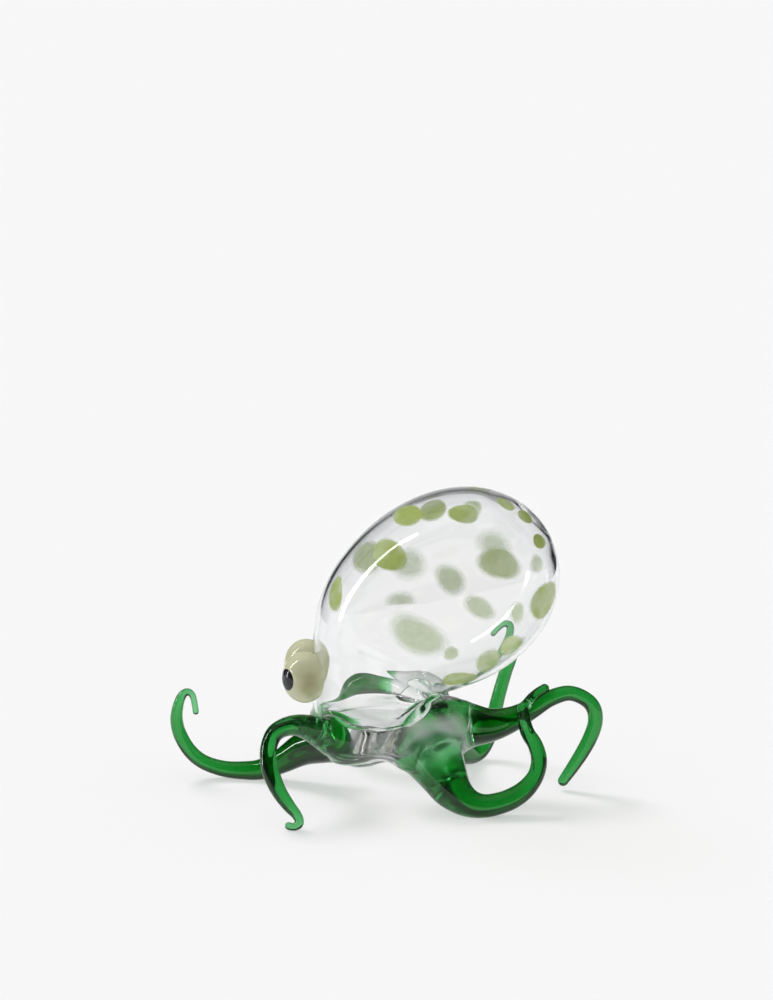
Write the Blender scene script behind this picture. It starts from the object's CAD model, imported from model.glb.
import math

import bpy
import numpy as np
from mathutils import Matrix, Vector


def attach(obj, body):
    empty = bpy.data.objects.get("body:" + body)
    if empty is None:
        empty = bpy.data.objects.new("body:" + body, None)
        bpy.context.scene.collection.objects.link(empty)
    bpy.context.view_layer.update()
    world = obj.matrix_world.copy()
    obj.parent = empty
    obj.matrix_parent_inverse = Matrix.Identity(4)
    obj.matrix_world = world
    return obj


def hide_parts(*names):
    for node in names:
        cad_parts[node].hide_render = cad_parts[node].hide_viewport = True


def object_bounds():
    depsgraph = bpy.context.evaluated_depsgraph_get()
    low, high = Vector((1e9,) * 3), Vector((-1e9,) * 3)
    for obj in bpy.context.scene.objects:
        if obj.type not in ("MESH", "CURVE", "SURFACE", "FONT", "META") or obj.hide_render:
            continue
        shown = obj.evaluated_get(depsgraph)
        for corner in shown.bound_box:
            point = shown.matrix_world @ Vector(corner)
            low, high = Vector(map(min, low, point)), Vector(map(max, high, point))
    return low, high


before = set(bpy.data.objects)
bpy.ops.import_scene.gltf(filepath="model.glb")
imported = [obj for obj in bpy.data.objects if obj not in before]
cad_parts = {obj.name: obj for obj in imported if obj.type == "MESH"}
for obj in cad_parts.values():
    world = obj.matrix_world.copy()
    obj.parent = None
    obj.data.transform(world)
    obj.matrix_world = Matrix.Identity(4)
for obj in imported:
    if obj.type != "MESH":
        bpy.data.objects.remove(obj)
cad_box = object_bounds()

# Lengths here are millimetres about the upright axis of the hub, floor at Z = 0, as the
# maker lays the figure out; put() moves them into the row frame, in metres.
HUB_AXIS = np.array([4.02, -2.82, 0.0])


def put(points):
    """Workshop millimetres to metres in the row frame."""
    return (np.asarray(points, float) + HUB_AXIS) / 1000


# The mantle: an egg that leans back, fuller towards its far end, on an upright neck that
# runs a little way into the hub
EGG_CENTRE = np.array([15.9, 0.0, 79.6])
EGG_HALF = 51.2
EGG_RADIUS = 38.0
EGG_FULLNESS = 0.097
EGG_TILT = math.radians(30.2)
EGG_AXIS = np.array([math.cos(EGG_TILT), 0.0, math.sin(EGG_TILT)])
EGG_TOP = np.array([-math.sin(EGG_TILT), 0.0, math.cos(EGG_TILT)])
NECK_X = -7.8
NECK_RADIUS = 25.0
NECK_SHOULDER = 57.5
NECK_DOME = 22.0
NECK_SUNK = 6  # how far below the hub's top it ends

# The mantle's wall. Where the bubble left the pipe it is thicker, in rings: how far above
# the egg's axis that is, in radians, then the rings' depth, spread, swing and rate
WALL = 1.6
PIPE_RISE = 0.16
PIPE_MARK = EGG_AXIS * math.cos(PIPE_RISE) + EGG_TOP * math.sin(PIPE_RISE)
RING_DEPTH, RING_SPREAD, RING_SWING, RING_RATE = 0.5, 0.30, 0.7, 17

# The air inside: its lowest level, a point that sees all of its surface, and a length that
# reaches past it
AIR_LOW = 29.5
AIR_MIDDLE = np.array([-5.0, 0.0, 60.0])
AIR_REACH = 130.0

# The hub. Its levels are rows of height share, radius share and share of the shift towards
# the neck. It is drawn in between two roots: heading in degrees, share of its radius, and
# half width in degrees.
HUB_RADIUS = 28.5
HUB_LOW, HUB_HIGH = 15.6, 33.5
HUB_CROWN = 1.5  # how much higher its upper face lies before the edge is rounded
HUB_LEVELS = np.array([
    (0.00, 0.56, 0.00), (0.10, 0.80, 0.02), (0.28, 0.95, 0.08),
    (0.52, 1.00, 0.30), (0.78, 0.965, 0.75), (1.00, 0.877, 1.00),
])
HUB_DIPS = [(266, 0.09, 24), (200, 0.10, 16), (328, 0.08, 12), (120, 0.12, 30)]

# How wide the glass melts together, in mm
ARM_JOIN = 10.0  # an arm at the hub
SHARP_JOIN = {"front_right_arm": 2.5}  # the arm that keeps a sharper root
CROSS_JOIN = 0.7  # arms that only cross
ROOTS_END = (24, 44)  # distances from the axis over which the roots' joins end
NECK_JOIN = 2.5  # the egg on its neck
NECK_FOOT_JOIN = 3.0  # the neck's side and its foot
BODY_JOIN = 1.6  # the mantle on the rest
BODY_FOOT_JOIN = 2.5  # and how much more than that low down
BODY_FOOT_END = (31, 36)  # heights over which that ends
HUB_LOW_JOIN, HUB_HIGH_JOIN = 9.0, 6.0  # the hub's lower and upper edge
AIR_JOIN, AIR_FOOT_JOIN = 3.0, 5.0  # the air's shoulder and foot

# Each arm: heading in degrees, reach, height, root thickness, the row of its route where
# the green starts and the row where it is full, and its route as rows of out, sideways,
# up and thickness shares.
ARMS = {
    "rear_arm": (355.0, 79.4, 40.2, 19.0, (1.6, 2.7), [
        (0.16, -0.02, 0.70, 0.60), (0.28, -0.013, 0.72, 0.98), (0.38, -0.005, 0.69, 0.92),
        (0.48, 0.004, 0.69, 0.71), (0.58, 0.013, 0.745, 0.545), (0.68, 0.028, 0.845, 0.42),
        (0.77, 0.043, 0.95, 0.355), (0.865, 0.063, 1.00, 0.32), (0.945, 0.08, 0.94, 0.315),
        (0.99, 0.087, 0.84, 0.32), (1.00, 0.087, 0.705, 0.315), (0.978, 0.086, 0.55, 0.31),
        (0.938, 0.082, 0.39, 0.295), (0.89, 0.078, 0.235, 0.265), (0.843, 0.074, 0.095, 0.225)]),
    "front_left_arm": (231.0, 66.0, 36.0, 17.0, (0.6, 2.3), [
        (0.10, -0.06, 0.66, 0.50), (0.22, -0.09, 0.62, 0.92), (0.35, -0.10, 0.67, 0.94),
        (0.48, -0.11, 0.775, 0.80), (0.60, -0.135, 0.90, 0.64), (0.71, -0.16, 0.98, 0.50),
        (0.805, -0.18, 0.99, 0.43), (0.88, -0.19, 0.95, 0.40), (0.93, -0.187, 0.86, 0.38),
        (0.97, -0.165, 0.74, 0.38), (0.995, -0.12, 0.58, 0.39), (1.00, -0.06, 0.41, 0.35),
        (0.99, 0.005, 0.27, 0.295), (0.972, 0.055, 0.165, 0.23), (0.974, 0.075, 0.085, 0.20),
        (0.992, 0.05, 0.045, 0.18), (1.01, 0.025, 0.055, 0.175)]),
    "rear_left_arm": (302.0, 54.0, 40.0, 26.0, (1.4, 3.4), [
        (0.16, 0.06, 0.75, 0.60), (0.31, 0.06, 0.68, 0.98), (0.455, 0.03, 0.53, 0.95),
        (0.60, 0.02, 0.385, 0.77), (0.72, 0.035, 0.24, 0.60), (0.82, 0.09, 0.145, 0.45),
        (0.895, 0.175, 0.11, 0.36), (0.95, 0.28, 0.13, 0.33), (0.985, 0.39, 0.18, 0.315),
        (1.00, 0.49, 0.26, 0.285), (0.992, 0.575, 0.37, 0.25), (0.957, 0.625, 0.50, 0.24),
        (0.89, 0.637, 0.625, 0.23), (0.80, 0.625, 0.745, 0.215)]),
    "front_arm": (168.0, 90.0, 36.4, 18.0, (0.9, 2.1), [
        (0.09, 0.01, 0.68, 0.55), (0.19, 0.02, 0.59, 0.94), (0.30, 0.00, 0.51, 0.92),
        (0.42, -0.03, 0.40, 0.76), (0.52, -0.04, 0.245, 0.58), (0.62, -0.04, 0.125, 0.47),
        (0.71, -0.035, 0.10, 0.41), (0.80, -0.02, 0.12, 0.36), (0.885, -0.005, 0.195, 0.33),
        (0.943, 0.005, 0.32, 0.32), (0.983, 0.015, 0.50, 0.31), (0.998, 0.02, 0.67, 0.285),
        (0.992, 0.018, 0.83, 0.245), (0.973, 0.013, 0.955, 0.20), (0.947, 0.008, 0.995, 0.165),
        (0.925, 0.003, 0.94, 0.145), (0.914, 0.00, 0.77, 0.14)]),
    "rear_right_arm": (62.0, 67.6, 55.5, 17.0, (0.9, 2.1), [
        (0.13, -0.03, 0.45, 0.60), (0.27, -0.06, 0.395, 0.98), (0.41, -0.087, 0.29, 0.88),
        (0.54, -0.11, 0.185, 0.71), (0.65, -0.13, 0.105, 0.56), (0.74, -0.15, 0.065, 0.44),
        (0.81, -0.173, 0.085, 0.385), (0.87, -0.19, 0.165, 0.365), (0.91, -0.20, 0.285, 0.355),
        (0.935, -0.213, 0.41, 0.345), (0.955, -0.23, 0.525, 0.33), (0.972, -0.255, 0.65, 0.315),
        (0.99, -0.285, 0.77, 0.29), (1.00, -0.305, 0.89, 0.25), (0.998, -0.30, 0.975, 0.205),
        (0.978, -0.265, 0.998, 0.175), (0.96, -0.232, 0.965, 0.16), (0.945, -0.205, 0.92, 0.15)]),
    "front_right_arm": (128.0, 68.0, 36.0, 16.0, (3.3, 4.3), [
        (-0.11, -0.235, 0.82, 0.60), (0.045, -0.31, 0.92, 0.95), (0.21, -0.356, 0.965, 0.825),
        (0.345, -0.326, 0.965, 0.70), (0.46, -0.266, 0.96, 0.64), (0.55, -0.198, 0.955, 0.625),
        (0.63, -0.16, 0.89, 0.585), (0.705, -0.158, 0.73, 0.50), (0.785, -0.175, 0.48, 0.405),
        (0.86, -0.184, 0.215, 0.33), (0.922, -0.176, 0.065, 0.285), (0.972, -0.148, 0.055, 0.26),
        (1.003, -0.108, 0.115, 0.23), (1.015, -0.081, 0.255, 0.20), (1.01, -0.088, 0.375, 0.175),
        (0.992, -0.112, 0.352, 0.158)]),
}
# The rear left arm's tip lies on the rear arm: along that route, degrees round its rod
# from straight up towards the near side, thickness share.
TIP_REST = [(0.335, 66.0, 0.185), (0.355, 52.0, 0.165), (0.38, 38.0, 0.155),
            (0.404, 27.0, 0.145), (0.427, 20.0, 0.14)]
# How far a standing arm's underside goes under the floor, which flattens it, and the gap
# between the resting tip and the rear arm
FOOT_SINK, TIP_GAP = 0.3, 0.2
# Rows to each interval of an arm's route, and of the rear arm's where the tip lies on it
ROUTE_STEPS, CARRIER_STEPS = 4, 40

# Frit flakes: share along the egg's axis, degrees about it, length and width as shares of
# the egg's diameter, turn in degrees, and how pale
SPOTS = [
    (-0.62, 33, 0.20, 0.13, -55, 0.0), (-0.36, -43, 0.33, 0.20, -88, 0.4),
    (-0.10, 41, 0.26, 0.165, 66, 0.0), (-0.12, -74, 0.21, 0.19, -84, 0.95),
    (0.15, 18, 0.27, 0.145, 74, 0.0), (0.29, -41, 0.26, 0.165, 77, 0.1),
    (0.54, 37, 0.165, 0.145, 43, 0.0), (0.58, -52, 0.16, 0.115, 70, 0.5),
    (0.71, -10, 0.14, 0.085, -18, 0.0), (0.84, 26, 0.125, 0.10, 61, 0.1),
    (0.92, 42, 0.125, 0.09, -40, 0.0), (0.925, 84, 0.125, 0.085, 12, 0.0),
    (0.81, -124, 0.155, 0.11, 0, 0.7), (0.56, -90, 0.22, 0.19, -46, 1.0),
    (0.60, 81, 0.25, 0.175, 37, 0.3), (0.10, -97, 0.21, 0.15, -82, 0.7),
    (0.31, 98, 0.205, 0.105, 64, 0.6), (-0.33, -93, 0.185, 0.12, -32, 1.0),
    (-0.20, 95, 0.335, 0.215, 62, 0.65), (-0.17, -143, 0.105, 0.095, 83, 0.5),
    (0.46, -143, 0.15, 0.105, 76, 0.6), (0.74, 135, 0.27, 0.21, 40, 0.0),
    (0.31, -169, 0.27, 0.14, -76, 0.1), (0.14, 137, 0.22, 0.145, -68, 0.3),
    (-0.12, 141, 0.22, 0.14, 52, 0.0),
]
# How deep a flake's top lies under the surface, its thickness in the middle and at its edge
FLAKE_TOP, FLAKE_THICK, FLAKE_EDGE = 0.25, 0.55, 0.04
# The flake whose lower edge is straight, at this share of its half width below its middle
FLAT_FLAKE, FLAT_SHARE = 18, 0.35
FLAKE_RINGS, FLAKE_SIDES = 22, 64

# The eyes: half width, half height and level; how far the middle stands off the neck, and
# how far round from straight ahead it sits and looks; how deep the back goes into the wall
EYE_WIDE, EYE_TALL, EYE_LEVEL = 8.9, 10.2, 49.2
EYE_OUT, EYE_TURN, EYE_LOOK = 4.7, math.radians(21.0), math.radians(31.0)
EYE_SUNK = 0.45
EYE_RINGS, EYE_SIDES = 58, 96
# The pupil: its radius, how much it domes, how far its edge lies in the ball and its depth
PUPIL_RADIUS, PUPIL_DOME, PUPIL_INSET, PUPIL_DEEP = 4.3, 0.3, 0.05, 1.1
PUPIL_RINGS = 12
# The dish round it: depth and half width
DISH_DEPTH, DISH_WIDTH = 0.35, 0.5

# How strongly each millimetre of the green glass takes out red, green and blue
ABSORB = np.array([0.70, 0.215, 0.56])
# Millimetres of colour that the thickest glass of an arm comes near, and for paler arms
DEEP, PALE_DEEP = 9.0, {"rear_left_arm": 4.4, "front_left_arm": 3.4}
# Fine bubbles make some roots milky: how much, and the rows over which that ends
MILK = {"rear_left_arm": (0.72, 1.7, 3.4), "front_left_arm": (0.4, 0.9, 2.4)}
# The hub is milky at one side: how much, heading and half width in degrees
HUB_MILK, HUB_MILK_HEADING, HUB_MILK_WIDTH = 0.3, -100, 22
MILK_TOP = (33, 38)  # heights over which all milk ends
# Wisps that move the green's start along an arm: rows, and radians to the millimetre
WISPS = [(0.10, [0.55, 0.2, 0.35]), (0.06, [-0.4, 0.9, 0.7])]


def linear(code):
    """An sRGB hex colour such as '9fd0a0' as linear red, green and blue, with alpha 1: each
    value v becomes v / 12.92 up to 0.04045, and ((v + 0.055) / 1.055)^2.4 above it."""
    values = [int(code[i:i + 2], 16) / 255 for i in (0, 2, 4)]
    return (*(v / 12.92 if v <= 0.04045 else ((v + 0.055) / 1.055) ** 2.4 for v in values), 1.0)


def smooth(low, high, value):
    """0 below low, 1 above high, and 3t^2 - 2t^3 between."""
    t = np.clip((np.asarray(value, float) - low) / (high - low), 0, 1)
    return t * t * (3 - 2 * t)


def along_rows(rows, place):
    """The Catmull-Rom row at each place, half of 2b + (c-a)t + (2a-5b+4c-d)t^2 +
    (3b-a-3c+d)t^3 for the four rows a, b, c, d around it, and its slope by place."""
    i = np.clip(place.astype(int), 0, len(rows) - 2)
    t = (place - i)[:, None]
    a, b = rows[np.maximum(i - 1, 0)], rows[i]
    c, d = rows[i + 1], rows[np.minimum(i + 2, len(rows) - 1)]
    second, third = 2 * a - 5 * b + 4 * c - d, 3 * b - a - 3 * c + d
    return ((2 * b + (c - a) * t + second * t**2 + third * t**3) / 2,
            (c - a + 2 * second * t + 3 * third * t**2) / 2)


def smooth_rows(rows, count):
    """Catmull-Rom rows through the given ones, count to each interval."""
    rows = np.asarray(rows, float)
    place = np.linspace(0, len(rows) - 1, (len(rows) - 1) * count + 1)
    return along_rows(rows, place)[0]


def unit(vectors):
    """Each vector over its length."""
    return vectors / np.maximum(np.linalg.norm(vectors, axis=-1, keepdims=True), 1e-12)


def mesh_object(name, points, faces, look):
    """An object of one material from points in metres and a face table."""
    mesh = bpy.data.meshes.new(name)
    mesh.from_pydata(points, [], faces)
    mesh.materials.append(look)
    made = bpy.data.objects.new(name, mesh)
    bpy.context.scene.collection.objects.link(made)
    return made


def piece(name, points, faces, look, normals=None):
    """A smooth object from workshop points and a face table, with its place in its mesh."""
    made = mesh_object(name, put(points).tolist(), [list(map(int, f)) for f in faces], look)
    made.data.polygons.foreach_set("use_smooth", np.ones(len(made.data.polygons), bool))
    if normals is not None:
        made.data.normals_split_custom_set_from_vertices(normals.tolist())
    made.data.update()
    return made


def give(made, name, values, kind="FLOAT"):
    """Writes one value or colour for each point of the piece."""
    values = np.asarray(values, np.float32)
    layer = made.data.attributes.new(name, kind, "POINT")
    layer.data.foreach_set("value" if kind == "FLOAT" else "color", values.ravel())


def ring_faces(rows, columns):
    """Quads between neighbouring rings of a grid, and triangles that close its first and last
    ring to two points kept after the grid. They face outwards when the columns run
    anticlockwise seen along the rows' way."""
    i, j = np.meshgrid(np.arange(rows - 1), np.arange(columns), indexing="ij")
    k = (j + 1) % columns
    quads = np.stack([i * columns + j, i * columns + k, (i + 1) * columns + k,
                      (i + 1) * columns + j], -1).reshape(-1, 4)
    first, last = rows * columns, rows * columns + 1
    j = np.arange(columns)
    k = (j + 1) % columns
    low = np.stack([np.full(columns, first), k, j], -1)
    j, k = j + (rows - 1) * columns, k + (rows - 1) * columns
    high = np.stack([np.full(columns, last), j, k], -1)
    return [*quads.tolist(), *low.tolist(), *high.tolist()]


def closed_rings(rings):
    """The points of rings (rows, columns, 3) with the middle of the first and the last, and
    the faces of the closed form."""
    points = np.concatenate([rings.reshape(-1, 3), rings[:1].mean(1), rings[-1:].mean(1)])
    return points, ring_faces(*rings.shape[:2])


# Distances to the glass, in mm and negative inside, each with its slope
def egg(points, inset=0.0):
    """Distance to the egg, to first order: q is the root of u^2 + (rho / R(u))^2, with u the
    share along its axis and R(u) = radius (1 + fullness u), and the distance is (q - 1) over
    the length of q's slope. An inset, one for all points or one for each, makes it smaller."""
    away = points - EGG_CENTRE
    half, wide = EGG_HALF - inset, EGG_RADIUS - inset
    u = away @ EGG_AXIS / half
    side = away - np.outer(u * half, EGG_AXIS)
    rho = np.maximum(np.linalg.norm(side, axis=1), 1e-9)
    radius = wide * (1 + EGG_FULLNESS * u)
    q = np.maximum(np.sqrt(u * u + (rho / radius) ** 2), 1e-6)
    slope = ((u / half - rho**2 * wide * EGG_FULLNESS / half / radius**3)[:, None] * EGG_AXIS
             + side / radius[:, None] ** 2) / q[:, None]
    size = np.maximum(np.linalg.norm(slope, axis=1), 1e-9)
    return (q - 1) / size, slope / size[:, None]


def neck(points, inset=0.0):
    """Distance to the upright neck, a cylinder and above its shoulder half an ellipsoid: q is
    the root of (rho / wide)^2 + (rise / dome)^2, and the distance is (q - 1) over the length
    of its slope."""
    wide, dome = NECK_RADIUS - inset, NECK_DOME - inset
    flat = points * [1, 1, 0] - [NECK_X, 0, 0]
    rise = np.maximum(points[:, 2] - NECK_SHOULDER, 0)
    q = np.maximum(np.sqrt((flat**2).sum(1) / wide**2 + rise**2 / dome**2), 1e-6)
    slope = (flat / wide**2 + np.outer(rise / dome**2, [0, 0, 1])) / q[:, None]
    size = np.maximum(np.linalg.norm(slope, axis=1), 1e-9)
    return (q - 1) / size, slope / size[:, None]


def flat_at(points, height, up):
    """Distance to a level face: positive on the side that up (1 or -1) points to."""
    slope = np.zeros_like(points)
    slope[:, 2] = up
    return (points[:, 2] - height) * up, slope


def join(a, b, k):
    """Smooth least of two distances, with a fillet of about k: b(1-h) + ah - kh(1-h), where
    h = 1/2 + (b-a)/2k held between 0 and 1. The slopes mix by the same h."""
    h = np.clip(0.5 + 0.5 * (b[0] - a[0]) / k, 0, 1)
    return b[0] * (1 - h) + a[0] * h - k * h * (1 - h), b[1] * (1 - h[:, None]) + a[1] * h[:, None]


def meet(a, b, k):
    """Smooth greatest, for the part that two solids share."""
    f, g = join((-a[0], -a[1]), (-b[0], -b[1]), k)
    return -f, -g


HUB_CURVE = smooth_rows(HUB_LEVELS, 12)


def hub(points):
    """Distance to the hub: rings whose radius and shift follow the level, rounded above and
    below. Each dip takes share x exp(-(off / width)^2) off the radius, off being the angle
    from its heading."""
    share = np.clip((points[:, 2] - HUB_LOW) / (HUB_HIGH - HUB_LOW), 0, 1)
    level_radius = HUB_RADIUS * np.interp(share, HUB_CURVE[:, 0], HUB_CURVE[:, 1])
    shift = NECK_X * np.interp(share, HUB_CURVE[:, 0], HUB_CURVE[:, 2])
    step = 0.02
    wider = HUB_RADIUS * np.interp(share + step, HUB_CURVE[:, 0], HUB_CURVE[:, 1])
    lean = np.where((share > 0) & (share < 1 - step),
                    (wider - level_radius) / step / (HUB_HIGH - HUB_LOW), 0)
    flat = points * [1, 1, 0] - np.outer(shift, [1, 0, 0])
    rho = np.maximum(np.linalg.norm(flat, axis=1), 1e-9)
    angle = np.arctan2(flat[:, 1], flat[:, 0])
    factor, turning = np.ones(len(points)), np.zeros(len(points))
    for heading, depth, width in HUB_DIPS:
        off = (angle - math.radians(heading) + math.pi) % (2 * math.pi) - math.pi
        dip = depth * np.exp(-(off / math.radians(width)) ** 2)
        factor -= dip
        turning += dip * 2 * off / math.radians(width) ** 2
    radius = level_radius * factor
    round_way = np.stack([-flat[:, 1], flat[:, 0], np.zeros(len(flat))], 1) / rho[:, None]
    # The slope round the axis grows without end towards it, so it is held within 8 mm
    held = np.maximum(rho, 8)
    slope = (flat / rho[:, None] - np.outer(lean, [0, 0, 1])
             - round_way * (level_radius * turning / held)[:, None])
    size = np.linalg.norm(slope, axis=1)
    side = (rho - radius) / size, slope / size[:, None]
    below = meet(side, flat_at(points, HUB_LOW, -1), HUB_LOW_JOIN)
    return meet(below, flat_at(points, HUB_HIGH + HUB_CROWN, 1), HUB_HIGH_JOIN)


def resting_tip(thick):
    """The rear left arm's last rows, which lie on the rear arm. Each is a place on that route
    moved out by both radii and the gap, along cos(lean) of the way up and sin(lean) of the
    near way, both taken square to the route."""
    carrier = smooth_rows(arm_route("rear_arm"), CARRIER_STEPS)
    rows = []
    for along, lean, share in TIP_REST:
        place = along * (len(carrier) - 1)
        here, ahead = carrier[int(place)], carrier[int(place) + 2]
        way = unit(ahead[:3] - here[:3])
        near = np.array([0.0, -1.0, 0.0])
        near = unit(near - way * (near @ way))
        above = np.cross(near, way)
        above = above if above[2] > 0 else -above
        own = thick * share / 2
        angle = math.radians(lean)
        outwards = above * math.cos(angle) + near * math.sin(angle)
        rows.append([*(here[:3] + outwards * (here[3] + own + TIP_GAP)), own])
    return rows


def arm_route(name):
    """Rows of X, Y, Z and radius along the arm's middle line: its shares times its reach,
    height and half thickness, turned to its heading. All but the rear arm are lowered until
    they stand."""
    heading, reach, height, thick, _, shares = ARMS[name]
    shares = np.array(shares)
    turn = math.radians(heading)
    out, side = shares[:, 0] * reach, shares[:, 1] * reach
    rows = np.stack([out * math.cos(turn) - side * math.sin(turn),
                     out * math.sin(turn) + side * math.cos(turn),
                     shares[:, 2] * height, shares[:, 3] * thick / 2], 1)
    if name != "rear_arm":
        rows[:, 2] -= (rows[:, 2] - rows[:, 3]).min() + FOOT_SINK
    if name == "rear_left_arm":
        rows = np.concatenate([rows, resting_tip(thick)])
    return rows


ROWS = {name: arm_route(name) for name in ARMS}
ROUTES = {name: smooth_rows(rows, ROUTE_STEPS) for name, rows in ROWS.items()}
# Points further from an arm than this are left out of its sums
ROD_REACH = 14


def rod(points, rows, route):
    """Distance to a rod of changing radius, its slope, the place along the route and the
    radius there. The nearest of the route's short straight runs is found first, then the
    place s on the smooth curve C where (p - C) has no part along C', by Newton's rule; the
    distance is |p - C| less the radius, over the length of its slope."""
    least = np.full(len(points), 1e9)
    slope = np.zeros_like(points)
    where = np.zeros(len(points))
    thick = np.zeros(len(points))
    low = (route[:, :3] - route[:, 3:]).min(0) - ROD_REACH
    high = (route[:, :3] + route[:, 3:]).max(0) + ROD_REACH
    near = np.where(((points > low) & (points < high)).all(1))[0]
    if not len(near):
        return least, slope, where, thick
    p = points[near]
    best = np.full(len(near), 1e9)
    place = np.zeros(len(near))
    for i in range(len(route) - 1):
        run = route[i + 1, :3] - route[i, :3]
        t = np.clip((p - route[i, :3]) @ run / (run @ run), 0, 1)
        away = p - route[i, :3] - t[:, None] * run
        gap = np.sqrt((away**2).sum(1)) - route[i, 3] - t * (route[i + 1, 3] - route[i, 3])
        closer = gap < best
        best[closer] = gap[closer]
        place[closer] = (i + t[closer]) / ROUTE_STEPS
    last = len(rows) - 1
    for _ in range(2):
        here, ahead = along_rows(rows, place)
        run = ahead[:, :3]
        move = ((p - here[:, :3]) * run).sum(1) / (run**2).sum(1)
        place = np.clip(place + np.clip(move, -0.3, 0.3), 0, last)
    here, ahead = along_rows(rows, place)
    away, run = p - here[:, :3], ahead[:, :3]
    length = np.maximum(np.linalg.norm(away, axis=1), 1e-9)
    widening = np.where((place > 0) & (place < last), ahead[:, 3], 0) / (run**2).sum(1)
    tilt = away / length[:, None] - run * widening[:, None]
    size = np.linalg.norm(tilt, axis=1)
    least[near], slope[near] = (length - here[:, 3]) / size, tilt / size[:, None]
    where[near], thick[near] = place, here[:, 3]
    return least, slope, where, thick


def outside(points):
    """Distance to the whole melted outer surface, its slope, each part's own distance, and
    for each arm the place along it and its radius there. The wide joins of the roots end away
    from the hub, where arms only cross."""
    near_axis = 1 - smooth(*ROOTS_END, np.hypot(points[:, 0], points[:, 1]))
    total = hub(points)
    own = {"hub": total[0]}
    places = {}
    for name, route in ROUTES.items():
        least, slope, where, thick = rod(points, ROWS[name], route)
        own[name] = least
        places[name] = (where, thick)
        width = CROSS_JOIN + SHARP_JOIN.get(name, ARM_JOIN) * near_axis
        total = join(total, (least, slope), width)
    stem = meet(neck(points), flat_at(points, HUB_HIGH - NECK_SUNK, -1), NECK_FOOT_JOIN)
    bubble = join(egg(points), stem, NECK_JOIN)
    own["mantle"] = bubble[0]
    width = BODY_JOIN + BODY_FOOT_JOIN * (1 - smooth(*BODY_FOOT_END, points[:, 2]))
    total = join(total, bubble, width)
    return total[0], total[1], own, places


# The solids' own box, in workshop millimetres
BOX_LOW, BOX_HIGH = np.array([list(corner) for corner in cad_box]) * 1000 - HUB_AXIS
# A join's slope is shorter than 1, and is never taken as shorter than the root of this
LEAST_SLOPE = 0.25


def settle(points, rounds, limit):
    """Moves points along the slope g by the distance over g's squared length, until they lie
    on the outer surface; none goes under the floor or out of the solids' box."""
    for _ in range(rounds):
        f, g = outside(points)[:2]
        size = np.maximum((g**2).sum(1), LEAST_SLOPE)[:, None]
        points = np.clip(points - g * np.clip(f, -limit, limit)[:, None] / size, BOX_LOW, BOX_HIGH)
    return points


# Rough shapes to melt together
def tube_points(route, sides=20):
    """Rings square to the route, each one's frame the last one's turned least. Three more
    round off the end, at the sines of 30, 60 and 80 degrees."""
    centres, radii = route[:, :3], route[:, 3]
    ways = unit(np.gradient(centres, axis=0))
    steps = np.array([0.5, 0.866, 0.985])
    centres = np.concatenate([centres, centres[-1] + np.outer(steps * radii[-1], ways[-1])])
    radii = np.concatenate([radii, radii[-1] * np.sqrt(1 - steps**2)])
    ways = np.concatenate([ways, np.repeat(ways[-1:], 3, 0)])
    across = unit(np.cross([0.0, 0.0, 1.0], ways[0]))
    frames = []
    for way in ways:
        across = unit(across - way * (across @ way))
        frames.append(across)
    across = np.array(frames)
    third = np.cross(ways, across)
    angle = np.linspace(0, 2 * math.pi, sides, endpoint=False)
    ring = (np.cos(angle)[None, :, None] * across[:, None]
            + np.sin(angle)[None, :, None] * third[:, None])
    return centres[:, None] + radii[:, None, None] * ring


def turned(heights, radii, centre, axis, across, sides=64):
    """A profile of heights h and radii r turned about an axis: centre + h axis + r (cos
    across + sin third), third being square to both."""
    third = np.cross(axis, across)
    angle = np.linspace(0, 2 * math.pi, sides, endpoint=False)
    ring = np.cos(angle)[:, None] * across + np.sin(angle)[:, None] * third
    return (centre + np.asarray(heights)[:, None, None] * axis
            + np.asarray(radii)[:, None, None] * ring[None])


def rough_shapes():
    """The egg, the neck, the hub and the arms as closed sets of rings that run into each
    other. The neck's dome keeps just inside the true one."""
    up, across = np.array([0.0, 0.0, 1.0]), np.array([0.0, 1.0, 0.0])
    u = -np.cos(np.linspace(0, math.pi, 66)[1:-1])
    shapes = [turned(u * EGG_HALF, EGG_RADIUS * np.sqrt(1 - u**2) * (1 + EGG_FULLNESS * u),
                     EGG_CENTRE, EGG_AXIS, across)]
    bow = np.linspace(0.1, 1.5, 8)
    z = np.concatenate([[28.0], np.linspace(28, NECK_SHOULDER, 12),
                        NECK_SHOULDER + NECK_DOME * 0.9 * np.sin(bow)])
    r = np.concatenate([[10.0], np.full(12, NECK_RADIUS), NECK_RADIUS * 0.98 * np.cos(bow)])
    shapes.append(turned(z, r, np.array([NECK_X, 0.0, 0.0]), up, across))
    z = HUB_LOW + (HUB_HIGH - HUB_LOW) * HUB_CURVE[:, 0]
    rings = turned(z, HUB_RADIUS * HUB_CURVE[:, 1], np.zeros(3), up, across)
    rings[:, :, 0] += (NECK_X * HUB_CURVE[:, 2])[:, None]
    return [*shapes, rings, *(tube_points(route) for route in ROUTES.values())]


def spread(points, quads):
    """Each point moves half way to the mean of its neighbours along the edges."""
    total = np.zeros_like(points)
    count = np.zeros(len(points))
    for a, b in ((0, 1), (1, 2), (2, 3), (3, 0)):
        for i, j in ((a, b), (b, a)):
            total += np.stack([np.bincount(quads[:, i], points[quads[:, j], axis], len(points))
                               for axis in range(3)], 1)
            count += np.bincount(quads[:, i], minlength=len(points))
    return 0.5 * points + 0.5 * total / np.maximum(count, 1)[:, None]


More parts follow.
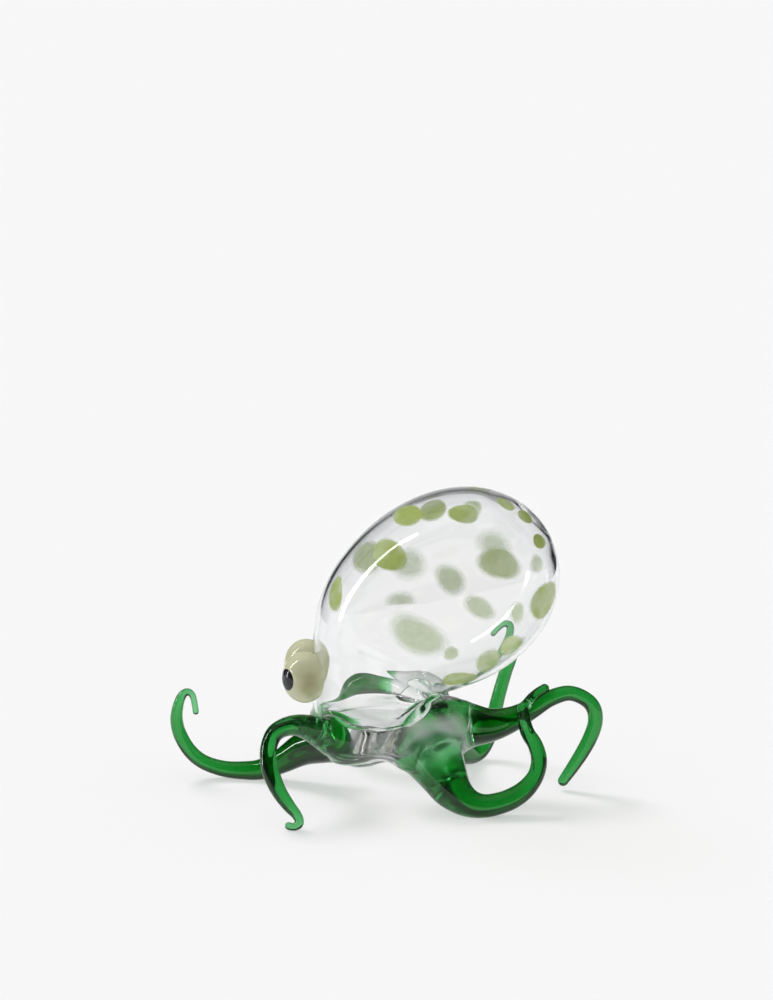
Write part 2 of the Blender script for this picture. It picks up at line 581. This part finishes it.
def melted_surface(voxel):
    """The rough shapes joined into one skin of quads, then settled onto the true outer
    surface and spread evenly on it in turns. A skin over shapes that run into each other is
    no function of two parameters, so this one is remeshed."""
    points, faces, start = [], [], 0
    for rings in rough_shapes():
        p, f = closed_rings(rings)
        faces += [[i + start for i in face] for face in f]
        points.append(p)
        start += len(p)
    mesh = bpy.data.meshes.new("rough")
    mesh.from_pydata(np.concatenate(points).tolist(), [], faces)
    rough = bpy.data.objects.new("rough", mesh)
    bpy.context.scene.collection.objects.link(rough)
    remesh = rough.modifiers.new("melt", "REMESH")
    remesh.mode, remesh.voxel_size, remesh.adaptivity = "VOXEL", voxel, 0.0
    bpy.context.view_layer.update()
    skin = bpy.data.meshes.new_from_object(rough.evaluated_get(bpy.context.evaluated_depsgraph_get()))
    points = np.empty(len(skin.vertices) * 3)
    skin.vertices.foreach_get("co", points)
    loops = np.empty(len(skin.loops), int)
    skin.loops.foreach_get("vertex_index", loops)
    bpy.data.objects.remove(rough)
    bpy.data.meshes.remove(mesh)
    bpy.data.meshes.remove(skin)
    quads = loops.reshape(-1, 4)
    points = settle(points.reshape(-1, 3), 5, 1.0)
    for _ in range(4):
        points = settle(spread(points, quads), 2, 0.6)
    return points, quads


def finer(points, quads):
    """Each quad cut in four. The new points on the piece's open border stay half way along
    the border's straight edges, so that it still meets its neighbour; the others settle on
    the glass. Also the ends of the border's edges, and the new points on them."""
    ends = np.sort(quads[:, [0, 1, 1, 2, 2, 3, 3, 0]].reshape(-1, 2), 1)
    edges, index, uses = np.unique(ends, axis=0, return_inverse=True, return_counts=True)
    old = len(points)
    index = index.reshape(-1, 4) + old
    middles = points[edges].mean(1)
    inner = uses == 2
    middles[inner] = settle(middles[inner], 2, 0.6)
    centre = np.arange(len(quads)) + old + len(edges)
    parts = [np.stack([quads[:, i], index[:, i], centre, index[:, i - 1]], 1) for i in range(4)]
    points = np.concatenate([points, middles, settle(points[quads].mean(1), 2, 0.6)])
    return points, np.concatenate(parts), edges[~inner], old + np.where(~inner)[0]


def air_distance(points):
    """Distance to the air inside: the inner egg joined to the inner neck, above the air's
    lowest level. The egg's wall is WALL + depth exp(-(a / spread)^2) (1 + swing cos(rate a)),
    a being the angle from the pipe's mark."""
    off = np.arccos(np.clip(unit(points - EGG_CENTRE) @ PIPE_MARK, -1, 1))
    rings = 1 + RING_SWING * np.cos(RING_RATE * off)
    wall = WALL + RING_DEPTH * np.exp(-(off / RING_SPREAD) ** 2) * rings
    air = join(egg(points, wall), neck(points, WALL), AIR_JOIN)
    return meet(air, flat_at(points, AIR_LOW, -1), AIR_FOOT_JOIN)


def air_surface():
    """The air's surface as a function of two angles about its middle: the length of each ray
    is halved in on until it ends where the air does. Faces and normals point into the air."""
    rows, columns = ((150, 300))
    polar = np.linspace(0, math.pi, rows + 2)[1:-1]
    around = np.linspace(0, 2 * math.pi, columns, endpoint=False)
    a, b = np.meshgrid(polar, around, indexing="ij")
    ways = np.stack([np.sin(a) * np.cos(b), np.sin(a) * np.sin(b), np.cos(a)], -1).reshape(-1, 3)
    ways = np.concatenate([ways, [[0, 0, 1.0], [0, 0, -1.0]]])
    low, high = np.zeros(len(ways)), np.full(len(ways), AIR_REACH)
    for _ in range(34):
        t = (low + high) / 2
        hollow = air_distance(AIR_MIDDLE + ways * t[:, None])[0] < 0
        low, high = np.where(hollow, t, low), np.where(hollow, high, t)
    air = AIR_MIDDLE + ways * low[:, None]
    grid = air[:-2].reshape(rows, columns, 3)
    down = np.gradient(grid, axis=0)
    beside = np.roll(grid, -1, 1) - np.roll(grid, 1, 1)
    normals = -unit(air_distance(air)[1])
    normals[:-2] = unit(np.cross(beside, down)).reshape(-1, 3)
    return air, ring_faces(rows, columns), normals


# Materials
def add(tree, kind, settings=None, **links):
    """Adds a node, sets its properties, and for each socket links an output socket or sets a
    value. A socket is named with _ for a space, or n and its number."""
    node = tree.nodes.new(kind)
    for key, value in (settings or {}).items():
        setattr(node, key, value)
    for key, value in links.items():
        numbered = key[0] == "n" and key[1:].isdigit()
        socket = node.inputs[int(key[1:]) if numbered else key.replace("_", " ")]
        if isinstance(value, bpy.types.NodeSocket):
            tree.links.new(value, socket)
        else:
            socket.default_value = value
    return node


def material(name):
    """A new material and its node tree, empty."""
    made = bpy.data.materials.new(name)
    made.use_nodes = True
    made.node_tree.nodes.clear()
    return made, made.node_tree


def lamp_clear(tree, surface, tint):
    """Lets lamp rays and soft light straight through the glass, in a tint, so that what lies
    behind it and the floor are lit; the eye still sees it refract."""
    path = add(tree, "ShaderNodeLightPath")
    either = add(tree, "ShaderNodeMath", {"operation": "MAXIMUM"},
                 n0=path.outputs["Is Shadow Ray"], n1=path.outputs["Is Diffuse Ray"])
    through = add(tree, "ShaderNodeBsdfTransparent", Color=tint)
    mixed = add(tree, "ShaderNodeMixShader", n0=either.outputs[0], n1=surface,
                n2=through.outputs[0])
    add(tree, "ShaderNodeOutputMaterial", Surface=mixed.outputs[0])


def make_blown_glass():
    """Soda-lime glass, blown and fire-polished: no texture of its own, a mirror-smooth skin,
    and grey where the wall is seen on edge, through many times its thickness."""
    made, tree = material("soda_lime_glass_blown")
    edge = add(tree, "ShaderNodeLayerWeight", Blend=0.35)
    ramp = add(tree, "ShaderNodeValToRGB", Fac=edge.outputs["Facing"])
    ramp.color_ramp.elements[0].color = linear("fefefe")
    ramp.color_ramp.elements[1].color = linear("4a5054")
    middle = ramp.color_ramp.elements.new(0.6)
    middle.color = linear("f8f9fb")
    glass = add(tree, "ShaderNodeBsdfPrincipled", Base_Color=ramp.outputs[0], Roughness=0.0,
                IOR=1.47, Transmission_Weight=1.0)
    lamp_clear(tree, glass.outputs[0], linear("fefefe"))
    return made


def make_drawn_glass(name):
    """Green soda-lime rod, gathered, drawn out and fire-polished. Its colour comes from the
    thickness it is seen through, kept on each point, and goes towards black where the rod
    turns away and the light crosses it lengthwise. The clear hub is the same glass, green
    only where the arms run in."""
    made, tree = material(name)
    tint = add(tree, "ShaderNodeAttribute", {"attribute_name": "tint"})
    edge = add(tree, "ShaderNodeLayerWeight", Blend=0.4)
    deep = add(tree, "ShaderNodeMix", {"data_type": "RGBA", "blend_type": "MULTIPLY"},
               Factor=edge.outputs["Facing"], n6=tint.outputs["Color"], n7=linear("1a2c20"))
    # Near the roots fine bubbles make it milky: part of the light is thrown back, with the
    # square root of the colour, having gone half as deep
    milk = add(tree, "ShaderNodeAttribute", {"attribute_name": "milk"})
    half = add(tree, "ShaderNodeGamma", Color=tint.outputs["Color"], Gamma=0.5)
    soft = add(tree, "ShaderNodeMix", {"data_type": "RGBA", "blend_type": "MULTIPLY"},
               Factor=1.0, n6=half.outputs[0], n7=linear("e9eceb"))
    body = add(tree, "ShaderNodeMix", {"data_type": "RGBA"}, Factor=milk.outputs["Fac"],
               n6=deep.outputs[2], n7=soft.outputs[2])
    clear = add(tree, "ShaderNodeMapRange", Value=milk.outputs["Fac"],
                n1=0.0, n2=1.0, n3=1.0, n4=0.28)
    haze = add(tree, "ShaderNodeMapRange", Value=milk.outputs["Fac"],
               n1=0.0, n2=1.0, n3=0.0, n4=0.3)
    glass = add(tree, "ShaderNodeBsdfPrincipled", Base_Color=body.outputs[2],
                Roughness=haze.outputs[0], IOR=1.47, Transmission_Weight=clear.outputs[0])
    # Green glass shades the floor a little, and clear glass next to nothing
    shade = add(tree, "ShaderNodeMix", {"data_type": "RGBA"}, Factor=tint.outputs["Fac"],
                n6=linear("dde1de"), n7=linear("fdfdfd"))
    lamp_clear(tree, glass.outputs[0], shade.outputs[2])
    return made


# Noise counts to the metre: the frit's grains 2.4 mm apart and its thin patches 9 mm, the
# clouds in the eye 17 mm and in the pupil 3 mm
GRAINS, PATCHES, EYE_CLOUDS, PUPIL_CLOUDS = 420.0, 110.0, 60.0, 300.0


def make_frit():
    """Crushed green glass melted into the wall: a half-opaque flake, grainy at about 1 mm,
    thin and milky towards its edge, and milkier still on the far wall."""
    made, tree = material("olive_frit_melted")
    place = add(tree, "ShaderNodeTexCoord")
    grain = add(tree, "ShaderNodeTexNoise", {"noise_dimensions": "3D"},
                Vector=place.outputs["Object"], Scale=GRAINS, Detail=3.0, Roughness=0.6)
    pale = add(tree, "ShaderNodeAttribute", {"attribute_name": "pale"})
    rim = add(tree, "ShaderNodeAttribute", {"attribute_name": "rim"})
    both = add(tree, "ShaderNodeMix", {"data_type": "RGBA"}, Factor=pale.outputs["Fac"],
               n6=linear("a6b858"), n7=linear("dce8d2"))
    # Where the flake is thinner, in patches, it goes pale
    patch = add(tree, "ShaderNodeTexNoise", {"noise_dimensions": "3D"},
                Vector=place.outputs["Object"], Scale=PATCHES, Detail=1.0, Roughness=0.5)
    thin = add(tree, "ShaderNodeMapRange", {"interpolation_type": "SMOOTHSTEP"},
               Value=patch.outputs["Fac"], n1=0.40, n2=0.66, n3=0.0, n4=0.5)
    cloudy = add(tree, "ShaderNodeMix", {"data_type": "RGBA"}, Factor=thin.outputs[0],
                 n6=both.outputs[2], n7=linear("c9d6b4"))
    light = add(tree, "ShaderNodeMapRange", Value=grain.outputs["Fac"],
                n1=0.3, n2=0.7, n3=0.90, n4=1.06)
    shade = add(tree, "ShaderNodeMix", {"data_type": "RGBA", "blend_type": "MULTIPLY"},
                Factor=1.0, n6=cloudy.outputs[2], n7=light.outputs[0])
    # Seen on edge, through more of it, it is darker
    edge = add(tree, "ShaderNodeLayerWeight", Blend=0.5)
    thick = add(tree, "ShaderNodeMapRange", Value=edge.outputs["Facing"],
                n1=0.45, n2=0.95, n3=1.0, n4=0.62)
    deep = add(tree, "ShaderNodeMix", {"data_type": "RGBA", "blend_type": "MULTIPLY"},
               Factor=1.0, n6=shade.outputs[2], n7=thick.outputs[0])
    # It fades out between this share of its outline and the rim, sooner where it is pale
    start = add(tree, "ShaderNodeMapRange", Value=pale.outputs["Fac"],
                n1=0.0, n2=1.0, n3=0.80, n4=0.30)
    most = add(tree, "ShaderNodeMapRange", Value=pale.outputs["Fac"],
               n1=0.0, n2=1.0, n3=0.97, n4=0.80)
    fade = add(tree, "ShaderNodeMapRange", {"interpolation_type": "SMOOTHSTEP"},
               Value=rim.outputs["Fac"], n1=start.outputs[0], n2=1.02, n3=most.outputs[0], n4=0.0)
    glass = add(tree, "ShaderNodeBsdfPrincipled", Base_Color=deep.outputs[2], Roughness=0.5,
                Alpha=fade.outputs[0])
    lamp_clear(tree, glass.outputs[0], linear("fafbf6"))
    return made


def make_opal():
    """Ivory opal glass, gathered and pressed on: dense and creamy at the edge, with a darker
    olive heart where it is thickest, glossy."""
    made, tree = material("ivory_opal_glass")
    place = add(tree, "ShaderNodeTexCoord")
    cloud = add(tree, "ShaderNodeTexNoise", {"noise_dimensions": "3D"},
                Vector=place.outputs["Object"], Scale=EYE_CLOUDS, Detail=1.0, Roughness=0.4)
    heart = add(tree, "ShaderNodeAttribute", {"attribute_name": "heart"})
    little = add(tree, "ShaderNodeMapRange", Value=cloud.outputs["Fac"],
                 n1=0.3, n2=0.7, n3=-0.06, n4=0.06)
    total = add(tree, "ShaderNodeMath", {"operation": "ADD"},
                n0=heart.outputs["Fac"], n1=little.outputs[0])
    ramp = add(tree, "ShaderNodeValToRGB", Fac=total.outputs[0])
    ramp.color_ramp.elements[0].color = linear("d3d4b0")
    ramp.color_ramp.elements[1].color = linear("8d8753")
    glass = add(tree, "ShaderNodeBsdfPrincipled", Base_Color=ramp.outputs[0], Roughness=0.12,
                IOR=1.5, Coat_Weight=0.3)
    lamp_clear(tree, glass.outputs[0], linear("f2f2f0"))
    return made


def make_black():
    """Black glass dot: near black, mirror-smooth."""
    made, tree = material("black_glass_dot")
    place = add(tree, "ShaderNodeTexCoord")
    cloud = add(tree, "ShaderNodeTexNoise", Vector=place.outputs["Object"], Scale=PUPIL_CLOUDS)
    ramp = add(tree, "ShaderNodeValToRGB", Fac=cloud.outputs["Fac"])
    ramp.color_ramp.elements[0].color = linear("17171d")
    ramp.color_ramp.elements[1].color = linear("2b2b33")
    glass = add(tree, "ShaderNodeBsdfPrincipled", Base_Color=ramp.outputs[0],
                Roughness=0.06, IOR=1.5)
    lamp_clear(tree, glass.outputs[0], linear("f2f2f0"))
    return made


blown = make_blown_glass()
frit = make_frit()
drawn = make_drawn_glass("green_glass_drawn")
poured = make_drawn_glass("clear_glass_melted")
opal = make_opal()
black = make_black()


def glass_look(points):
    """The outer surface's normals, the colour that light keeps in crossing the glass, which
    is exp(-share of green x absorption x thickness) with the green growing along each arm,
    and how milky it is. The thickness t comes near deepest as deepest x tanh(t / deepest)."""
    _, normals, own, places = outside(points)
    wisp = sum(size * np.sin(points @ way) for size, way in WISPS)
    tint = np.ones((len(points), 3))
    heading = np.degrees(np.arctan2(points[:, 1], points[:, 0]))
    milk = HUB_MILK * np.exp(-((heading - HUB_MILK_HEADING) / HUB_MILK_WIDTH) ** 2)
    milk *= 1 - smooth(0.5, 6.0, own["hub"])
    for name in ARMS:
        start, full = ARMS[name][4]
        where, thick = places[name]
        share = smooth(start, full, where + wisp) * (1 - smooth(0.0, 4.0, own[name]))
        deepest = PALE_DEEP.get(name, DEEP)
        deep = deepest * np.tanh(thick / deepest)
        tint *= np.exp(-share[:, None] * ABSORB * 2 * deep[:, None])
        if name in MILK:
            most, low, high = MILK[name]
            root = most * (1 - smooth(low, high, where + wisp)) * (1 - smooth(0.0, 5.0, own[name]))
            milk = np.maximum(milk, root)
    milk *= 1 - smooth(*MILK_TOP, points[:, 2])
    return unit(normals), np.concatenate([tint, np.ones((len(points), 1))], 1), milk


# The melted body. Its faces go to the nearest part: mantle, hub or arm
VOXEL = 0.85
names = ["mantle", "hub", *ARMS]
skin_points, skin_quads = melted_surface(VOXEL)
own = outside(skin_points)[2]
label = np.stack([own[n] for n in names], 1).argmin(1)
face_label = np.sort(label[skin_quads], 1)[:, 2]
for i, name in enumerate(names):
    used, quads = np.unique(skin_quads[face_label == i], return_inverse=True)
    points, quads = skin_points[used], quads.reshape(-1, 4)
    if name == "mantle":
        air, air_faces, air_normals = air_surface()
        faces = [*quads.tolist(), *([v + len(points) for v in face] for face in air_faces)]
        normals = np.concatenate([unit(outside(points)[1]), air_normals])
        made = piece("blown_mantle", np.concatenate([points, air]), faces, blown, normals)
    else:
        points, quads, border_ends, border = finer(points, quads)
        normals, colours, milk = glass_look(points)
        normals[border] = unit(normals[border_ends].mean(1))
        title, look = ("solid_hub", poured) if name == "hub" else ("drawn_" + name, drawn)
        made = piece(title, points, quads.tolist(), look, normals)
        give(made, "tint", colours, "FLOAT_COLOR")
        give(made, "milk", milk)
    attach(made, "root")
    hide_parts(name)


def lay(points, normal, depth):
    """Slides points along a flake's normal onto the egg at that depth, by Newton's rule."""
    points = points.reshape(-1, 3)
    for _ in range(8):
        f, g = egg(points)
        points = points - normal * ((f + depth) / np.maximum(g @ normal, 0.2))[:, None]
    return points


def flake(number, along, angle, length, width, turn, pale):
    """A flake's points, faces, normals and rim values. Its outline is an oval, wavy by small
    sines of two and three times the angle, and larger the paler it is, as its edge fades.
    Rings at shares s of it lie on the egg at an even depth, and again lower by the edge's
    thickness and thickness x sqrt(1 - s^2). The rim value is s above and 2 below, where
    nothing shows."""
    angle, turn = math.radians(angle), math.radians(-turn)
    out = EGG_TOP * math.cos(angle) + np.array([0, -1.0, 0]) * math.sin(angle)
    radius = EGG_RADIUS * math.sqrt(1 - along**2) * (1 + EGG_FULLNESS * along)
    centre = EGG_CENTRE + EGG_AXIS * EGG_HALF * along + out * radius
    normal = egg(centre[None])[1][0]
    way = unit(EGG_AXIS - normal * (EGG_AXIS @ normal))
    side = np.cross(normal, way)
    way, side = (way * math.cos(turn) + side * math.sin(turn),
                 side * math.cos(turn) - way * math.sin(turn))
    s = np.linspace(0.04, 1, FLAKE_RINGS)
    t = np.linspace(0, 2 * math.pi, FLAKE_SIDES, endpoint=False)
    wobble = 1 + 0.16 * pale + 0.035 * np.sin(2 * t + number) + 0.035 * np.sin(3 * t + 2.3 * number)
    oval = length * np.cos(t)[:, None] * way + width * np.sin(t)[:, None] * side
    flat = oval * EGG_RADIUS * wobble[:, None]
    if number == FLAT_FLAKE:
        flat[:, 2] = np.maximum(flat[:, 2], -FLAT_SHARE * width * EGG_RADIUS)
    flat = centre + s[:, None, None] * flat[None]
    lens = FLAKE_THICK * np.sqrt(np.maximum(1 - s**2, 0)).repeat(FLAKE_SIDES)
    upper = lay(flat, normal, FLAKE_TOP).reshape(flat.shape)
    lower = lay(flat, normal, FLAKE_TOP + FLAKE_EDGE + lens).reshape(flat.shape)
    points, faces = closed_rings(np.concatenate([upper, lower[::-1]]))
    count = FLAKE_RINGS * FLAKE_SIDES
    facing = np.concatenate([np.ones(count), -np.ones(count), [1, -1]])
    rim = np.concatenate([s, np.full(FLAKE_RINGS, 2.0)]).repeat(FLAKE_SIDES)
    normals = egg(points)[1] * facing[:, None]
    return points, [f[::-1] for f in faces], normals, np.concatenate([rim, [0, 2]])


# Frit flakes in the wall
for number, row in enumerate(SPOTS, start=1):
    points, faces, normals, rim = flake(number, *row)
    made = piece(f"frit_{number:02d}", points, faces, frit, normals)
    give(made, "rim", rim)
    give(made, "pale", np.full(len(points), row[5]))
    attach(made, "root")
    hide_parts(f"frit_spot_{number:02d}")


def opal_ball(centre, look, across, up):
    """An eye: rings about its look, an ellipsoid of cos a along it and sin a square to it,
    less a dish of depth x exp(-((reach - pupil's radius) / width)^2) on its front. Points
    that lie deep in the mantle's wall come back to where the ball is sunk in it."""
    a = np.linspace(0, math.pi, EYE_RINGS + 2)[1:-1]
    t = np.linspace(0, 2 * math.pi, EYE_SIDES, endpoint=False)
    rings = (look * (EYE_WIDE * np.cos(a))[:, None, None]
             + (np.sin(a)[:, None] * np.cos(t) * EYE_WIDE)[..., None] * across
             + (np.sin(a)[:, None] * np.sin(t) * EYE_TALL)[..., None] * up)
    reach = np.hypot(rings @ across, rings @ up)
    front = rings @ look > 0
    dish = DISH_DEPTH * np.exp(-((reach - PUPIL_RADIUS) / DISH_WIDTH) ** 2) * front
    rings = centre + rings - dish[..., None] * look
    flat = rings.reshape(-1, 3)
    gap, slope = join(egg(flat), neck(flat), NECK_JOIN)
    depth = np.maximum(-gap - EYE_SUNK, 0)
    rings = (flat + slope * depth[:, None]).reshape(rings.shape)
    return closed_rings(rings[::-1])


def black_dot(centre, look, across, up):
    """A pupil let into the ball: rings at shares s of its radius on the ellipsoid, raised by
    dome x (1 - s^4), and under its edge one ring that ends it inside the ball."""
    s = np.linspace(1, 0.05, PUPIL_RINGS)
    t = np.linspace(0, 2 * math.pi, EYE_SIDES, endpoint=False)
    x = PUPIL_RADIUS * s[:, None] * np.cos(t)
    z = PUPIL_RADIUS * s[:, None] * np.sin(t)
    rise = (EYE_WIDE * np.sqrt(1 - (x / EYE_WIDE) ** 2 - (z / EYE_TALL) ** 2)
            + PUPIL_DOME * (1 - s[:, None] ** 4) - PUPIL_INSET)
    cap = centre + x[..., None] * across + z[..., None] * up + rise[..., None] * look
    foot = (centre + (0.97 * x[:1])[..., None] * across + (0.97 * z[:1])[..., None] * up
            + (rise[:1] - PUPIL_DEEP)[..., None] * look)
    return closed_rings(np.concatenate([foot, cap]))


# Eyes and pupils
for name, side in (("left", 1), ("right", -1)):
    out = np.array([-math.cos(EYE_TURN), -side * math.sin(EYE_TURN), 0.0])
    look = np.array([-math.cos(EYE_LOOK), -side * math.sin(EYE_LOOK), 0.0])
    centre = np.array([NECK_X, 0, EYE_LEVEL]) + out * (NECK_RADIUS + EYE_OUT)
    up = np.array([0.0, 0.0, 1.0])
    across = np.cross(up, look)
    points, faces = opal_ball(centre, look, across, up)
    made = piece(f"{name}_opal_ball", points, faces, opal)
    # The olive heart shows on the outer side: 0.85 exp(-(angle off it / 0.52)^2)
    heart = unit(np.array([0.25, -side * 0.95, -0.05]))
    off = np.arccos(np.clip(unit(points - centre) @ heart, -1, 1))
    give(made, "heart", 0.85 * np.exp(-(off / 0.52) ** 2))
    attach(made, "root")
    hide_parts(f"{name}_eye")
    points, faces = black_dot(centre, look, across, up)
    made = piece(f"{name}_black_dot", points, faces, black)
    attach(made, "root")
    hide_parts(f"{name}_pupil")

# Floor
FLOOR = 60.0
look, tree = material("paper_floor")
paper = add(tree, "ShaderNodeBsdfDiffuse", Color=linear("f6f6f6"))
add(tree, "ShaderNodeOutputMaterial", Surface=paper.outputs[0])
corners = [(-FLOOR, -FLOOR, 0), (FLOOR, -FLOOR, 0), (FLOOR, FLOOR, 0), (-FLOOR, FLOOR, 0)]
floor = mesh_object("floor", corners, [(0, 1, 2, 3)], look)

# Two black cards on the floor, one at each side behind the figure and out of the picture,
# give the glass its dark edges: distance to the side, and nearest, furthest and highest
CARD_SIDE, CARD_NEAR, CARD_FAR, CARD_TALL = 0.46, 0.20, 1.50, 0.60
CARD_LIFT = 0.001
look, tree = material("black_card")
matt = add(tree, "ShaderNodeBsdfDiffuse", Color=linear("202224"))
add(tree, "ShaderNodeOutputMaterial", Surface=matt.outputs[0])
for side in (-1, 1):
    x = CARD_SIDE * side
    corners = [(x, CARD_NEAR, CARD_LIFT), (x, CARD_FAR, CARD_LIFT),
               (x, CARD_FAR, CARD_TALL), (x, CARD_NEAR, CARD_TALL)]
    card = mesh_object("card", corners, [(0, 1, 2, 3)], look)
    card.visible_camera = card.visible_diffuse = card.visible_shadow = False

# The world: a pale backdrop to the camera, even soft light on what is matt, and for glass
# and gloss a backdrop that is pale near the level, darker higher up and pale overhead
BACKDROP, SKY = 0.92, 0.535
world = bpy.data.worlds.new("studio")
world.use_nodes = True
bpy.context.scene.world = world
tree = world.node_tree
tree.nodes.clear()
path = add(tree, "ShaderNodeLightPath")
way = add(tree, "ShaderNodeTexCoord")
split = add(tree, "ShaderNodeSeparateXYZ", Vector=way.outputs["Generated"])
high = add(tree, "ShaderNodeMapRange", {"interpolation_type": "SMOOTHSTEP"},
           Value=split.outputs["Z"], n1=0.04, n2=0.42, n3=0.92, n4=0.14)
top = add(tree, "ShaderNodeMapRange", {"interpolation_type": "SMOOTHSTEP"},
          Value=split.outputs["Z"], n1=0.86, n2=0.93, n3=0.0, n4=0.9)
overhead = add(tree, "ShaderNodeMath", {"operation": "ADD"},
               n0=high.outputs[0], n1=top.outputs[0])
# Towards the camera's side the room is darker
behind = add(tree, "ShaderNodeMapRange", {"interpolation_type": "SMOOTHSTEP"},
             Value=split.outputs["Y"], n1=-0.6, n2=0.2, n3=0.22, n4=1.0)
room = add(tree, "ShaderNodeMath", {"operation": "MULTIPLY"},
           n0=overhead.outputs[0], n1=behind.outputs[0])
# Gloss shows it at half strength, as cards shade it from the front
gloss = add(tree, "ShaderNodeMapRange", Value=path.outputs["Is Glossy Ray"],
            n1=0.0, n2=1.0, n3=1.0, n4=0.5)
shaded = add(tree, "ShaderNodeMath", {"operation": "MULTIPLY"},
             n0=room.outputs[0], n1=gloss.outputs[0])
sharp = add(tree, "ShaderNodeMath", {"operation": "MAXIMUM"},
            n0=path.outputs["Is Glossy Ray"], n1=path.outputs["Is Transmission Ray"])
studio = add(tree, "ShaderNodeMix", {"data_type": "FLOAT"}, Factor=sharp.outputs[0],
             n2=SKY, n3=shaded.outputs[0])
shown = add(tree, "ShaderNodeMix", {"data_type": "FLOAT"}, Factor=path.outputs["Is Camera Ray"],
            n2=studio.outputs[0], n3=BACKDROP)
background = add(tree, "ShaderNodeBackground", Color=(1, 1, 1, 1), Strength=shown.outputs[0])
add(tree, "ShaderNodeOutputWorld", Surface=background.outputs[0])

# A soft sun, unseen in gloss and glass
lamp = bpy.data.lights.new("window", "SUN")
lamp.energy = 2.0
lamp.angle = math.radians(24)
sun = bpy.data.objects.new("window", lamp)
sun.rotation_euler = (math.radians(-32), math.radians(-28), 0)
bpy.context.scene.collection.objects.link(sun)
sun.visible_glossy = False
sun.visible_transmission = False

# A tall narrow lamp on the figure's front side, seen only in gloss and glass
lamp = bpy.data.lights.new("strip", "AREA")
lamp.shape, lamp.size, lamp.size_y = "RECTANGLE", 0.045, 1.23
lamp.energy = 3.2
strip = bpy.data.objects.new("strip", lamp)
strip.location = (-0.65, 0.02, 0.635)
strip.rotation_euler = (math.radians(90), 0, math.radians(-90))
bpy.context.scene.collection.objects.link(strip)
strip.visible_diffuse = False

# The camera stands where the photograph was taken from
lens = bpy.data.cameras.new("camera")
lens.lens, lens.sensor_width, lens.sensor_fit = 100.0, 36.0, "AUTO"
lens.clip_end = 200.0
camera = bpy.data.objects.new("camera", lens)
camera.location = (0.00062, -1.07297, 0.32025)
camera.rotation_euler = (math.radians(90 - 10.7), 0, 0)
bpy.context.scene.collection.objects.link(camera)
bpy.context.scene.camera = camera

scene = bpy.context.scene
scene.view_settings.view_transform = "Standard"
scene.cycles.max_bounces = 24
scene.cycles.transmission_bounces = 24
scene.cycles.glossy_bounces = 10
scene.cycles.transparent_max_bounces = 24

bpy.context.view_layer.update()
